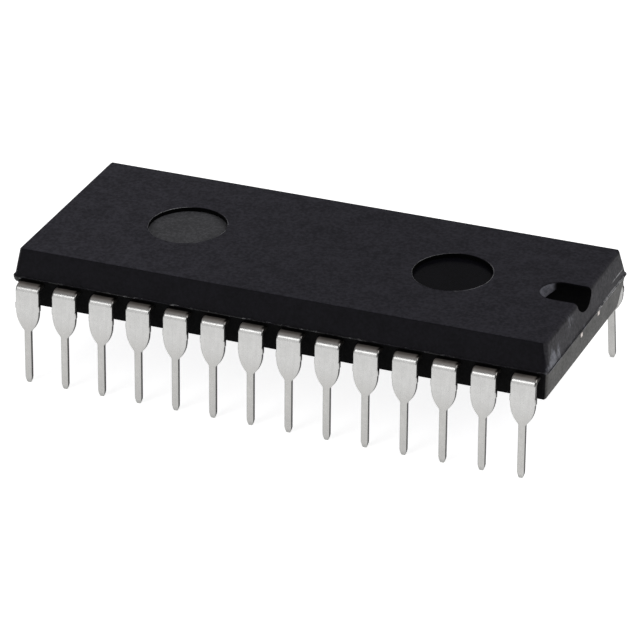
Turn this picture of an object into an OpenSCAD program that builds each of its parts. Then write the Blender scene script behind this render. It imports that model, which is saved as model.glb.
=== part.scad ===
// Plastic dual in-line integrated circuit package with two wide rows of leads.
// It stands on its lead tips: Z = 0 is the plane of the tips, X runs along the
// body towards the notched end, and Y runs across the two rows.

/* [Rows] */
// Distance between the centres of neighbouring leads
lead_pitch = 2.54; // [2.45:0.01:2.65]
// Distance between the two rows, at the foot of the bends and mid thickness
row_spacing = 15.24; // [15:0.02:15.6]
// Height of the shoulders' upper face above the lead tips
shoulder_z = 6.52; // [6.2:0.02:7]
// Outward lean of the legs, in degrees
splay = 4.4; // [0:0.2:7]

/* [Lead outside the body] */
// Thickness of the sheet that the leads and the die pad are stamped from
sheet_t = 0.25; // [0.2:0.01:0.28]
// Width of a lead at its shoulder
lead_w = 1.6; // [1.4:0.02:1.7]
// Width of the pin that goes through the board
pin_w = 0.47; // [0.4:0.01:0.56]
// Length of the pin from its tip to the neck below the wide part
pin_len = 3.45; // [3:0.05:3.6]
// Radius of the two curved edges that narrow the wide part down to the pin
taper_r = 1.9; // [1.6:0.05:2.2]
// Radius of the small hollow where the taper meets the pin
neck_r = 0.2; // [0.1:0.02:0.3]
// Radius inside the bend of the shoulder
bend_r = 0.15; // [0.1:0.01:0.25]
// Width taken off each corner of the pin's tip
tip_cut_w = 0.12; // [0.05:0.01:0.16]
// Height of the cut on each corner of the pin's tip
tip_cut_h = 0.2; // [0.1:0.01:0.3]
// How far the stub of the sheared dam bar stands out of a lead's edge
dam_out = 0.05; // [0.02:0.01:0.1]
// Length of the dam bar's stub along the lead
dam_h = 0.35; // [0.2:0.05:0.5]
// Height of the middle of the dam bar's stub above the tip, along the leg
dam_z = 5.15; // [5:0.05:5.4]

/* [Moulded body] */
// From the centre of an end lead to the parting line at the body's end
end_land = 1.27; // [1:0.01:1.6]
// From a row, mid thickness, to the parting line at the body's side
side_land = 0.62; // [0.55:0.01:0.8]
// Height of the parting line above the shoulders' upper face
crest_rise = 0.24; // [0.1:0.02:0.3]
// Height of the half of the body above the parting line
upper_h = 1.79; // [1.6:0.01:2.2]
// Height of the half of the body below the parting line
lower_h = 2.21; // [1.7:0.01:2.3]
// Draft of the long sides above the parting line, in degrees
upper_draft = 14.7; // [8:0.1:16]
// Draft of the long sides below the parting line, in degrees
lower_draft = 16.7; // [8:0.1:18]
// Draft of both ends, in degrees
end_draft = 8.3; // [5:0.1:12]
// Radius of the body's four upright corners
corner_r = 0.35; // [0.2:0.05:0.8]
// Radius round the long edges of the top and the underside
edge_r = 0.14; // [0.08:0.02:0.24]
// Radius round the worn end edges of the top and the underside
end_edge_r = 0.3; // [0.1:0.02:0.5]
// How far the parting line's thin flash stands out of the walls
flash_out = 0.06; // [0.03:0.01:0.1]
// Height of the flash
flash_h = 0.06; // [0.04:0.01:0.1]

/* [Marks in the body] */
// Distance between the two round ejector marks
mark_spacing = 17.9; // [14:0.1:20]
// Radius of the ejector marks on the top
mark_r = 2.5; // [1.5:0.1:3]
// Depth of the ejector marks on the top
mark_depth = 0.28; // [0.1:0.02:0.4]
// Radius of the ejector marks on the underside
under_mark_r = 1.5; // [1:0.1:2]
// Depth of the ejector marks on the underside
under_mark_depth = 0.12; // [0.05:0.01:0.25]
// Length of the notch from the body's end to its rounded inner end
notch_len = 2.8; // [1.5:0.05:3.5]
// Width of the notch
notch_w = 2.36; // [1.6:0.02:2.8]
// Depth of the notch
notch_depth = 0.97; // [0.5:0.01:1.2]
// Radius of the notch's hollow floor
notch_floor_r = 1.4; // [1.4:0.05:2]

/* [Lead inside the body] */
// How far the wide part of a lead reaches into the body
tab_in = 1; // [0.8:0.05:1.1]
// Radius of the hole that keys a lead into the moulding
key_r = 0.25; // [0.15:0.01:0.35]
// Width of a finger where it leaves the wide part
finger_w = 0.5; // [0.4:0.02:0.6]
// Width of a finger at its tip
finger_tip_w = 0.28; // [0.22:0.01:0.3]
// Straight length at the tip of each finger
finger_tip_len = 0.45; // [0.4:0.05:0.6]
// Gap between the finger tips and the die pad
tip_gap = 0.3; // [0.2:0.05:0.5]
// Distance between finger tips along the pad's long side
long_tip_pitch = 1.1; // [1.05:0.01:1.15]
// Distance between finger tips along the pad's short side
short_tip_pitch = 0.7; // [0.6:0.02:0.75]
// From the pad's centre line to the first finger tip at its short side
short_tip_first = 0.75; // [0.65:0.01:0.85]

/* [Die pad] */
// Length of the die pad
pad_len = 8; // [7.8:0.1:9]
// Width of the die pad
pad_w = 5.2; // [4.8:0.1:5.6]
// How far the die pad is pressed down below the leads
pad_drop = 0.3; // [0.1:0.02:0.5]
// Width of the bar that held the die pad in the strip
bar_w = 0.6; // [0.4:0.02:0.7]
// Length of the bar's flat part beside the die pad
bar_foot = 0.4; // [0.2:0.05:0.8]
// Length of the bar's sloping step
bar_slope = 0.5; // [0.3:0.05:0.9]
// From the body's end to the crosspiece that joins the bar's two prongs
fork_in = 3.6; // [3:0.1:4.2]
// Width of the crosspiece
fork_w = 0.6; // [0.4:0.05:0.8]
// Width of each prong
prong_w = 0.3; // [0.2:0.02:0.5]
// Distance between the two prongs
prong_spacing = 3; // [2:0.1:3.2]
// Sideways offset of the pair of prongs from the centre line
prong_shift = 0.5; // [0:0.1:0.6]
// How far the prongs' cut ends stand out of the body's end
prong_out = 0.04; // [0.02:0.01:0.08]

/* [Die and wires] */
// Length of the silicon die
die_len = 4.6; // [4.4:0.1:6]
// Width of the silicon die
die_w = 3.6; // [3.4:0.1:4.2]
// Thickness of the silicon die
die_t = 0.35; // [0.2:0.01:0.45]
// Thickness of the layer that bonds the die to its pad
attach_t = 0.03; // [0.02:0.01:0.06]
// How far the bonding layer shows round the die
attach_rim = 0.1; // [0.05:0.01:0.2]
// From the die's edge to the centres of its bond pads
bond_in = 0.2; // [0.15:0.01:0.4]
// Distance between bond pads along the die's long side
long_bond_pitch = 0.55; // [0.4:0.01:0.58]
// Distance between bond pads along the die's short side
short_bond_pitch = 0.45; // [0.35:0.01:0.5]
// From the die's centre line to the first bond pad at its short side
short_bond_first = 0.45; // [0.3:0.01:0.5]
// Radius of a bond wire
wire_r = 0.0165; // [0.0125:0.0005:0.02]
// Radius of the ball and of the stitch at a wire's ends
ball_r = 0.045; // [0.04:0.005:0.06]
// Height of the ball and of the stitch
ball_h = 0.04; // [0.04:0.005:0.05]
// Height of a wire's loop above the line between its ends
loop_h = 0.28; // [0.2:0.02:0.4]
// From the end of a finger to the stitch on it
stitch_in = 0.25; // [0.15:0.01:0.35]

/* [Hidden] */
$fn = 64;
LEADS_PER_ROW = 14;
LEAD_COUNT = 2 * LEADS_PER_ROW;
// Fingers on each side of the middle that end at the pad's long side
LONG_FINGERS = 4;
// Flat steps that make up the rounding along an edge
EDGE_STEPS = 5;
// Sides of a bond wire and of its ends, which are too thin to need true circles
WIRE_SIDES = 6;
// Margin by which a cutting shape passes the surface that it cuts
OVER = 1;

part_z = shoulder_z + crest_rise;
top_z = part_z + upper_h;
under_z = part_z - lower_h;
end_column = (LEADS_PER_ROW - 1) / 2;
half_len = end_column * lead_pitch + end_land;
half_w = row_spacing / 2 - side_land;
top_half_len = half_len - upper_h * tan(end_draft);

sheet_z = shoulder_z - sheet_t;
outer_r = bend_r + sheet_t;
bend_z = shoulder_z - outer_r;
bend_y = row_spacing / 2 - (bend_r + sheet_t / 2) * cos(splay);
leg_len = (bend_z + bend_r * sin(splay)) / cos(splay);
taper_side = taper_r - lead_w / 2;
neck_x = pin_w / 2 + neck_r;
neck_run = sqrt(pow(taper_r + neck_r, 2) - pow(taper_side + neck_x, 2));
taper_s = pin_len + neck_run;

tab_end = half_w - tab_in;
key_y = half_w - tab_in / 2;
long_tip_y = pad_w / 2 + tip_gap;
short_tip_x = pad_len / 2 + tip_gap;
end_wall_x = half_len - (part_z - sheet_z) * tan(end_draft);

pad_z = sheet_z - pad_drop;
die_z = pad_z + sheet_t + attach_t;
die_top = die_z + die_t;

BODY_BLACK = [0.16, 0.16, 0.18];
TIN = [0.78, 0.78, 0.77];
COPPER = [0.78, 0.5, 0.34];
EPOXY_SILVER = [0.6, 0.6, 0.58];
SILICON = [0.33, 0.35, 0.42];
GOLD = [0.9, 0.72, 0.3];

function two_digits(k) = str(k < 10 ? "0" : "", k);
function lead_name(k) = str("lead_", two_digits(k));
function wire_name(k) = str("bond_wire_", two_digits(k));

// Leads count anticlockwise from above, from the back row's notched end.
// A row's own columns run from -end_column to end_column along X.
function column(k) = (k - 1) % LEADS_PER_ROW - end_column;

function unit(v) = v / norm(v);
function left_of(v) = [-v[1], v[0]];

// The sideways step at point i of a line, which mitres its corners.
function mitre(p, i) =
    i == 0 ? left_of(unit(p[1] - p[0]))
    : i == len(p) - 1 ? left_of(unit(p[i] - p[i - 1]))
    : let (a = left_of(unit(p[i] - p[i - 1])), b = left_of(unit(p[i + 1] - p[i])))
        (a + b) / (1 + a * b);

// The outline of a strip along the line p, with width w[i] at point i.
function strip(p, w) = concat(
    [for (i = [0:len(p) - 1]) p[i] + mitre(p, i) * w[i] / 2],
    [for (i = [len(p) - 1:-1:0]) p[i] - mitre(p, i) * w[i] / 2]
);

// Half of an upright section: it leans in from half_base by the draft, and
// is rounded by r where it meets the flat top at height h.
function leaning_side(half_base, h, draft, r) =
    let (cx = half_base - (r + (h - r) * sin(draft)) / cos(draft))
    concat(
        [[half_base, 0]],
        [for (i = [0:EDGE_STEPS])
            let (a = draft + (90 - draft) * i / EDGE_STEPS)
            [cx + r * cos(a), h - r + r * sin(a)]]
    );

function mirrored(p) = [for (i = [len(p) - 1:-1:0]) [-p[i][0], p[i][1]]];

// Where the finger of a column ends, in the front row.
function is_long(c) = abs(c) < LONG_FINGERS;
function short_rank(c) = end_column - abs(c);
function tip_at(c) = is_long(c)
    ? [c * long_tip_pitch, -long_tip_y]
    : [sign(c) * short_tip_x, -short_tip_first - short_rank(c) * short_tip_pitch];

// A finger's middle line: out of the wide part, slanting in, and straight at
// its tip. Those of the short side slant at 45 degrees.
function finger_line(c) =
    let (
        start = [c * lead_pitch, -tab_end],
        tip = tip_at(c),
        knee = is_long(c)
            ? tip - [0, finger_tip_len]
            : [start[0] - sign(c) * (tip[1] - start[1]), tip[1]]
    )
    [start - [0, finger_w / 2], start, knee, tip];

function bond_at(c) = is_long(c)
    ? [c * long_bond_pitch, bond_in - die_w / 2]
    : [sign(c) * (die_len / 2 - bond_in), -short_bond_first - short_rank(c) * short_bond_pitch];

function stitch_at(c) = is_long(c)
    ? tip_at(c) - [0, stitch_in]
    : tip_at(c) + [sign(c) * stitch_in, 0];

// Turns a front-row shape to the row that lead k belongs to.
module in_row(k) {
    rotate([0, 0, k <= LEADS_PER_ROW ? 180 : 0]) children();
}

// Shapes of the moulded body

// Cuts the upright corner between an end and a side round, for one half.
module corner_cut(h, side_draft) {
    foot = [half_len, half_w, 0];
    head = [half_len - h * tan(end_draft), half_w - h * tan(side_draft), h];
    along = unit(head - foot);
    n_end = [cos(end_draft), 0, sin(end_draft)];
    n_side = [0, cos(side_draft), sin(side_draft)];
    across = cross(along, n_end);
    open = acos(n_end * n_side);
    reach = corner_r / cos(open / 2);
    middle = [-reach * cos(open / 2), -reach * sin(open / 2)];
    far = corner_r + OVER;
    multmatrix([
        [n_end[0], across[0], along[0], foot[0]],
        [n_end[1], across[1], along[1], foot[1]],
        [n_end[2], across[2], along[2], foot[2]],
        [0, 0, 0, 1]
    ])
    translate([middle[0], middle[1], -OVER])
    linear_extrude(h + 2 * OVER)
    difference() {
        polygon([
            [0, 0],
            [far, 0],
            [far, far * tan(open / 2)],
            [far * cos(open), far * sin(open)]
        ]);
        circle(corner_r);
    }
}

// One half of the body, from the parting line up.
module drafted_half(h, side_draft) {
    end_side = leaning_side(half_len, h, end_draft, end_edge_r);
    long_side = leaning_side(half_w, h, side_draft, edge_r);
    difference() {
        intersection() {
            rotate([90, 0, 0])
            linear_extrude(2 * half_w + OVER, center = true)
            polygon(concat(end_side, mirrored(end_side)));

            rotate([90, 0, 90])
            linear_extrude(2 * half_len + OVER, center = true)
            polygon(concat(long_side, mirrored(long_side)));
        }
        for (sx = [0, 1], sy = [0, 1]) {
            mirror([sx, 0, 0]) mirror([0, sy, 0]) corner_cut(h, side_draft);
        }
    }
}

module parting_flash() {
    x = half_len + flash_out;
    y = half_w + flash_out;
    translate([0, 0, part_z - flash_h / 2])
    linear_extrude(flash_h)
    union() {
        square([2 * (x - corner_r), 2 * y], center = true);
        square([2 * x, 2 * (y - corner_r)], center = true);
        for (sx = [-1, 1], sy = [-1, 1]) {
            translate([sx * (x - corner_r), sy * (y - corner_r)]) circle(corner_r);
        }
    }
}

module ejector_marks(r, depth, z) {
    for (s = [-1, 1]) {
        translate([s * mark_spacing / 2, 0, z - depth]) cylinder(r = r, h = depth + OVER);
    }
}

// The notch: a slot with a round inner end, over a hollow floor.
module notch() {
    intersection() {
        translate([0, 0, top_z - notch_depth - OVER])
        linear_extrude(notch_depth + 2 * OVER)
        union() {
            translate([top_half_len - notch_len + notch_w / 2, 0]) circle(notch_w / 2);
            translate([top_half_len - notch_len + notch_w / 2, -notch_w / 2])
            square([notch_len + OVER, notch_w]);
        }
        translate([0, 0, top_z - notch_depth + notch_floor_r])
        rotate([0, 90, 0])
        cylinder(r = notch_floor_r, h = half_len + OVER);
    }
}

module moulded_body() {
    color(BODY_BLACK)
    difference() {
        union() {
            translate([0, 0, part_z]) drafted_half(upper_h, upper_draft);
            translate([0, 0, part_z]) rotate([180, 0, 0]) drafted_half(lower_h, lower_draft);
            parting_flash();
        }
        ejector_marks(mark_r, mark_depth, top_z);
        translate([0, 0, under_z]) rotate([180, 0, 0]) ejector_marks(under_mark_r, under_mark_depth, 0);
        notch();
        for (k = [1:LEAD_COUNT]) {
            in_row(k) lead_sheet(column(k));
            in_row(k) wire(column(k));
        }
        pad_sheet();
        attach_layer();
        die_block();
    }
}

// Shapes of a lead, in the front row

// The flat part: shoulder, keyed wide part and finger.
module lead_sheet(c) {
    translate([0, 0, sheet_z])
    linear_extrude(sheet_t)
    difference() {
        union() {
            translate([c * lead_pitch - lead_w / 2, -bend_y]) square([lead_w, bend_y - tab_end]);
            polygon(strip(finger_line(c), [finger_w, finger_w, finger_tip_w, finger_tip_w]));
        }
        translate([c * lead_pitch, -key_y]) circle(key_r);
    }
}

// The outline of the leg, flat, with its tip at the origin and up along Y.
module leg_outline() {
    reach = taper_r / (taper_r + neck_r);
    meet = [(taper_side + neck_x) * reach - taper_side, taper_s - neck_run * reach];
    translate([-lead_w / 2, taper_s]) square([lead_w, leg_len - taper_s]);
    translate([-lead_w / 2 - dam_out, dam_z - dam_h / 2]) square([lead_w + 2 * dam_out, dam_h]);
    intersection() {
        translate([-taper_side, taper_s]) circle(taper_r);
        translate([taper_side, taper_s]) circle(taper_r);
        translate([-lead_w / 2, pin_len]) square([lead_w, taper_s - pin_len]);
    }
    difference() {
        polygon([
            [-neck_x, pin_len],
            [neck_x, pin_len],
            meet,
            [-meet[0], meet[1]]
        ]);
        translate([-neck_x, pin_len]) circle(neck_r);
        translate([neck_x, pin_len]) circle(neck_r);
    }
    polygon([
        [tip_cut_w - pin_w / 2, 0],
        [pin_w / 2 - tip_cut_w, 0],
        [pin_w / 2, tip_cut_h],
        [pin_w / 2, taper_s],
        [-pin_w / 2, taper_s],
        [-pin_w / 2, tip_cut_h]
    ]);
}

// The shoulder's bend and the leg below it.
module lead_leg() {
    translate([0, -bend_y, bend_z]) {
        rotate([0, -90, 180])
        rotate_extrude(angle = 90 - splay)
        translate([bend_r, -lead_w / 2])
        square([sheet_t, lead_w]);

        rotate([90 - splay, 0, 0])
        translate([0, -leg_len, bend_r])
        linear_extrude(sheet_t)
        leg_outline();
    }
}

module lead(k) {
    color(TIN)
    in_row(k)
    union() {
        lead_sheet(column(k));
        translate([column(k) * lead_pitch, 0, 0]) lead_leg();
    }
}

// Shapes of the die pad, the die and its wires

module pad_sheet() {
    bar_end = half_len - fork_in;
    step_x = pad_len / 2 + bar_foot;
    mid_z = sheet_z + sheet_t / 2;
    bar_line = [
        [pad_len / 2 - sheet_t, mid_z - pad_drop],
        [step_x, mid_z - pad_drop],
        [step_x + bar_slope, mid_z],
        [bar_end + fork_w / 2, mid_z]
    ];
    translate([-pad_len / 2, -pad_w / 2, pad_z]) cube([pad_len, pad_w, sheet_t]);
    for (s = [0, 1]) {
        mirror([s, 0, 0]) {
            rotate([90, 0, 0])
            linear_extrude(bar_w, center = true)
            polygon(strip(bar_line, [for (p = bar_line) sheet_t]));

            translate([0, prong_shift, sheet_z])
            linear_extrude(sheet_t)
            union() {
                translate([bar_end, -(prong_spacing + prong_w) / 2])
                square([fork_w, prong_spacing + prong_w]);
                for (t = [-1, 1]) {
                    translate([bar_end, (t * prong_spacing - prong_w) / 2])
                    square([end_wall_x + prong_out - bar_end, prong_w]);
                }
            }
        }
    }
}

module attach_layer() {
    x = die_len + 2 * attach_rim;
    y = die_w + 2 * attach_rim;
    translate([-x / 2, -y / 2, pad_z + sheet_t]) cube([x, y, attach_t]);
}

module die_block() {
    translate([-die_len / 2, -die_w / 2, die_z]) cube([die_len, die_w, die_t]);
}

// A looped wire from a bond pad on the die to the finger of column c.
module wire(c) {
    a = [bond_at(c)[0], bond_at(c)[1], die_top];
    b = [stitch_at(c)[0], stitch_at(c)[1], shoulder_z];
    span = b - a;
    chord = norm(span);
    arc_r = (chord * chord / 4 + loop_h * loop_h) / (2 * loop_h);
    half_angle = asin(chord / 2 / arc_r);
    translate(a) cylinder(r = ball_r, h = ball_h, $fn = WIRE_SIDES);
    translate(b) cylinder(r = ball_r, h = ball_h, $fn = WIRE_SIDES);
    translate(a + [0, 0, ball_h / 2])
    rotate([0, -asin(span[2] / chord), atan2(span[1], span[0])])
    translate([chord / 2, 0, loop_h - arc_r])
    rotate([90, 0, 0])
    rotate([0, 0, 90 - half_angle])
    rotate_extrude(angle = 2 * half_angle)
    translate([arc_r, 0])
    circle(wire_r, $fn = WIRE_SIDES);
}

module die_pad() {
    color(COPPER) pad_sheet();
}

module die_attach() {
    color(EPOXY_SILVER) attach_layer();
}

module silicon_die() {
    color(SILICON) die_block();
}

module bond_wire(k) {
    color(GOLD) in_row(k) wire(column(k));
}

moulded_body();
die_pad();
die_attach();
silicon_die();
for (k = [1:LEAD_COUNT]) {
    lead(k);
    bond_wire(k);
}
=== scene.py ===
import math

import bpy
import numpy as np
from mathutils import Matrix, Vector


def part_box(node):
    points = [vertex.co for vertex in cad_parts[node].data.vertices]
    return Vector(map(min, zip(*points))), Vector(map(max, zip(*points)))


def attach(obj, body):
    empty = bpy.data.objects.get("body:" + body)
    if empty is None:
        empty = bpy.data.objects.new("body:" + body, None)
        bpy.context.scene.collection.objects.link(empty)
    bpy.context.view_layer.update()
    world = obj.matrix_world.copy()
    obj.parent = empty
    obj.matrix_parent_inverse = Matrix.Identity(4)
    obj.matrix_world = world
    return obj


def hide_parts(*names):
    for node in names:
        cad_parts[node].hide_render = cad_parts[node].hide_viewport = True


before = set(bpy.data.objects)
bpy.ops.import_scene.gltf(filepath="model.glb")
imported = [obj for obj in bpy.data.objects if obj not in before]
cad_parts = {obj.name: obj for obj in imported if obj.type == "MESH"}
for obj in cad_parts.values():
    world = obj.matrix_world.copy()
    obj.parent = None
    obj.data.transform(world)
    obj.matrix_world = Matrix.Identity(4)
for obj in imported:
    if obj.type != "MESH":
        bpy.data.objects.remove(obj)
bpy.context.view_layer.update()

# Viewpoint
# A long lens looks down on the front long side, a little from the notched end.
# Its optical centre lies a few pixels off the middle of the picture.
MM = 0.001
IMAGE_SIDE = 640
SENSOR_WIDTH = 36
FOCAL_PIXELS = 4163.5
OPTICAL_CENTRE = (323.46, 318.08)
VIEW_AZIMUTH = math.radians(24.01)
VIEW_ELEVATION = math.radians(28.1)
VIEW_ROLL = math.radians(-1.43)
VIEW_DISTANCE = 259.79 * MM
VIEW_TARGET = Vector((0.449, -0.528, 4.0)) * MM
NEAREST = 0.01


def place_camera():
    """The camera's axes: back points from the target to the lens, right is level, and up is their
    cross product. The roll then turns right and up about back."""
    back = Vector((
        math.sin(VIEW_AZIMUTH) * math.cos(VIEW_ELEVATION),
        -math.cos(VIEW_AZIMUTH) * math.cos(VIEW_ELEVATION),
        math.sin(VIEW_ELEVATION),
    ))
    right = Vector((math.cos(VIEW_AZIMUTH), math.sin(VIEW_AZIMUTH), 0))
    up = back.cross(right)
    rolled_right = right * math.cos(VIEW_ROLL) + up * math.sin(VIEW_ROLL)
    rolled_up = up * math.cos(VIEW_ROLL) - right * math.sin(VIEW_ROLL)
    axes = Matrix((rolled_right, rolled_up, back)).transposed().to_4x4()

    lens = bpy.data.cameras.new("camera")
    lens.sensor_width = SENSOR_WIDTH
    lens.lens = FOCAL_PIXELS / IMAGE_SIDE * SENSOR_WIDTH
    lens.shift_x = (IMAGE_SIDE / 2 - OPTICAL_CENTRE[0]) / IMAGE_SIDE
    lens.shift_y = (OPTICAL_CENTRE[1] - IMAGE_SIDE / 2) / IMAGE_SIDE
    lens.clip_start = NEAREST
    camera = bpy.data.objects.new("camera", lens)
    bpy.context.scene.collection.objects.link(camera)
    camera.matrix_world = Matrix.Translation(VIEW_TARGET + back * VIEW_DISTANCE) @ axes
    bpy.context.scene.camera = camera


place_camera()

# Floor and light
# A plain white light table. A bright soft box stands above the notched end, a wide dim one
# hangs overhead, a low one lights the front, and a small one above that draws the bright
# line along the leads' bends.
FLOOR_HALF = 1.5
FLOOR_COLOUR = (0.8, 0.8, 0.8, 1)
FLOOR_GLOW = 0.85
SURROUND = 0.15


def mesh_piece(name, points, faces):
    """A smooth-shaded object at the origin, with its place in its mesh."""
    mesh = bpy.data.meshes.new(name)
    mesh.from_pydata(points, [], faces)
    mesh.polygons.foreach_set("use_smooth", [True] * len(mesh.polygons))
    mesh.update()
    piece = bpy.data.objects.new(name, mesh)
    bpy.context.scene.collection.objects.link(piece)
    return piece


def add_node(tree, kind, values=None, **settings):
    """A node of that kind, with its settings and the values of its input sockets."""
    node = tree.nodes.new(kind)
    for name, value in settings.items():
        setattr(node, name, value)
    for name, value in (values or {}).items():
        node.inputs[name].default_value = value
    return node


def new_material(name, **shader_values):
    """A material with one Principled BSDF, whose constant inputs are set here. Returns both."""
    material = bpy.data.materials.new(name)
    material.use_nodes = True
    shader = material.node_tree.nodes["Principled BSDF"]
    for socket, value in shader_values.items():
        shader.inputs[socket].default_value = value
    return material, shader


def build_floor():
    """One square face, FLOOR_HALF to each side of the part. It glows a little, to stay white."""
    corners = [(-1, -1), (1, -1), (1, 1), (-1, 1)]
    points = [(FLOOR_HALF * x, FLOOR_HALF * y, 0) for x, y in corners]
    floor = mesh_piece("floor", points, [(0, 1, 2, 3)])
    material, shader = new_material("white_table", Roughness=0.9)
    shader.inputs["Base Color"].default_value = FLOOR_COLOUR
    shader.inputs["Emission Color"].default_value = (1, 1, 1, 1)
    shader.inputs["Emission Strength"].default_value = FLOOR_GLOW
    floor.data.materials.append(material)


def add_soft_box(name, place, size, radiance):
    """A square light that faces the part. Its place and its side are in metres."""
    lamp = bpy.data.lights.new(name, "AREA")
    lamp.shape = "SQUARE"
    lamp.size = size
    lamp.energy = radiance * math.pi * size ** 2
    box = bpy.data.objects.new(name, lamp)
    bpy.context.scene.collection.objects.link(box)
    box.location = place
    box.rotation_euler = Vector(place).to_track_quat("Z", "Y").to_euler()


def surround_light():
    """A dim even white from all round, and a view that leaves the colours as they are."""
    world = bpy.data.worlds.new("surround")
    world.use_nodes = True
    background = world.node_tree.nodes["Background"]
    background.inputs["Color"].default_value = (1, 1, 1, 1)
    background.inputs["Strength"].default_value = SURROUND
    bpy.context.scene.world = world
    bpy.context.scene.view_settings.view_transform = "Standard"


build_floor()
add_soft_box("key_light", place=(0.32, 0.14, 0.42), size=0.4, radiance=2.05)
add_soft_box("ceiling_light", place=(-0.1, 0.1, 0.9), size=1.2, radiance=0.18)
add_soft_box("front_light", place=(-0.25, -0.56, 0.23), size=0.46, radiance=0.95)
add_soft_box("bend_light", place=(-0.21, -0.46, 0.49), size=0.24, radiance=2.7)
surround_light()

# Moulded body
# Black silica-filled epoxy, cast in two drafted halves round the leadframe. The mould
# leaves a fine spark-eroded grain, a notch, and smooth round marks where its ejector pins
# pressed. Handling has scuffed the wall of the notched end grey, and at its front corner the
# grey also stands for a painted highlight. Light and shade are painted into its colours too:
# shade on the long walls, the lower half, the notch and the marks' walls, light on the ends
# and the top's far part, and reflections on the marks' floors.
BODY_LOW = Vector(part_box("moulded_body")[0]) / MM
BODY_TOP = Vector(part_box("moulded_body")[1]) / MM
PARTING_Z = 6.76
MARK_X = 8.95
MARK_R = 2.5
NOTCH_INNER_X = 14.6
NOTCH_HALF_W = 1.25
NOTCH_END_LEN = 1.2
GRAIN_SCALE = 4.6
MOTTLE_SCALE = 0.7
GRAIN_DEPTH = 0.012
SMOOTH_ANGLE = math.radians(28)
WELD_GAP = 1e-7


def new_group(name, inputs, outputs):
    """A shader node group with float or vector sockets. inputs and outputs give name: socket type.
    Returns the tree and its two ends."""
    tree = bpy.data.node_groups.new(name, "ShaderNodeTree")
    for socket, kind in inputs.items():
        tree.interface.new_socket(socket, in_out="INPUT", socket_type=kind)
    for socket, kind in outputs.items():
        tree.interface.new_socket(socket, in_out="OUTPUT", socket_type=kind)
    return tree, tree.nodes.new("NodeGroupInput"), tree.nodes.new("NodeGroupOutput")


def use_group(tree, group, **values):
    """Places a group in a tree. A value is a number, or the socket that feeds it."""
    node = tree.nodes.new("ShaderNodeGroup")
    node.node_tree = group
    for name, value in values.items():
        feed(tree, node.inputs[name], value)
    return node


def feed(tree, socket, value):
    """Links the socket to value if that is a socket, or else sets it."""
    if isinstance(value, bpy.types.NodeSocket):
        tree.links.new(value, socket)
    else:
        socket.default_value = value


def maths(tree, operation, *values, clamp=False):
    """One Math node over sockets or numbers. Returns its output."""
    node = add_node(tree, "ShaderNodeMath", operation=operation, use_clamp=clamp)
    for socket, value in zip(node.inputs, values):
        feed(tree, socket, value)
    return node.outputs["Value"]


def ease(tree, value, low, high, to_low=0.0, to_high=1.0):
    """A smooth step from to_low to to_high as value goes from low to high."""
    node = add_node(tree, "ShaderNodeMapRange", interpolation_type="SMOOTHSTEP")
    for name, number in (("Value", value), ("From Min", low), ("From Max", high),
                         ("To Min", to_low), ("To Max", to_high)):
        feed(tree, node.inputs[name], number)
    return node.outputs["Result"]


def blend(tree, factor, under, over):
    """The colour under, with over laid on it by factor."""
    node = add_node(tree, "ShaderNodeMix", data_type="RGBA")
    feed(tree, node.inputs["Factor"], factor)
    feed(tree, node.inputs["A"], under)
    feed(tree, node.inputs["B"], over)
    return node.outputs["Result"]


def all_of(tree, mask, *others):
    """The product of masks, which is one only where each of them is."""
    for other in others:
        mask = maths(tree, "MULTIPLY", mask, other)
    return mask


def scaled(tree, colour, shade):
    """The colour, a socket or three numbers, multiplied by shade."""
    node = add_node(tree, "ShaderNodeVectorMath", operation="SCALE")
    feed(tree, node.inputs[0], colour)
    feed(tree, node.inputs["Scale"], shade)
    return node.outputs["Vector"]


def noise(tree, place, scale, detail=3.0, roughness=0.55):
    """A Noise texture's value over place."""
    node = add_node(tree, "ShaderNodeTexNoise", {"Detail": detail, "Roughness": roughness})
    feed(tree, node.inputs["Vector"], place)
    feed(tree, node.inputs["Scale"], scale)
    return node.outputs["Fac"]


def stretched(tree, place, factors):
    """place with each axis multiplied by its factor."""
    node = add_node(tree, "ShaderNodeVectorMath", operation="MULTIPLY")
    feed(tree, node.inputs[0], place)
    node.inputs[1].default_value = factors
    return node.outputs["Vector"]


def millimetres(tree):
    """Object coordinates in millimetres: the vector, and its x, y and z."""
    place = add_node(tree, "ShaderNodeTexCoord").outputs["Object"]
    vector = stretched(tree, place, (1 / MM, 1 / MM, 1 / MM))
    parts = add_node(tree, "ShaderNodeSeparateXYZ")
    tree.links.new(vector, parts.inputs["Vector"])
    return vector, parts.outputs["X"], parts.outputs["Y"], parts.outputs["Z"]


def facing(tree):
    """The x, y and z of the surface's own direction."""
    parts = add_node(tree, "ShaderNodeSeparateXYZ")
    tree.links.new(add_node(tree, "ShaderNodeTexCoord").outputs["Normal"], parts.inputs["Vector"])
    return parts.outputs["X"], parts.outputs["Y"], parts.outputs["Z"]


def add_relief(tree, shader, height, depth):
    """A Bump node that lays height on the shader's surface as a relief of depth, in millimetres."""
    bump = add_node(tree, "ShaderNodeBump", {"Distance": depth * MM})
    tree.links.new(height, bump.inputs["Height"])
    tree.links.new(bump.outputs["Normal"], shader.inputs["Normal"])


BROAD_HEIGHT = 0.6
FINE_TONE = 0.72
BROAD_TONE = 0.28


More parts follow.
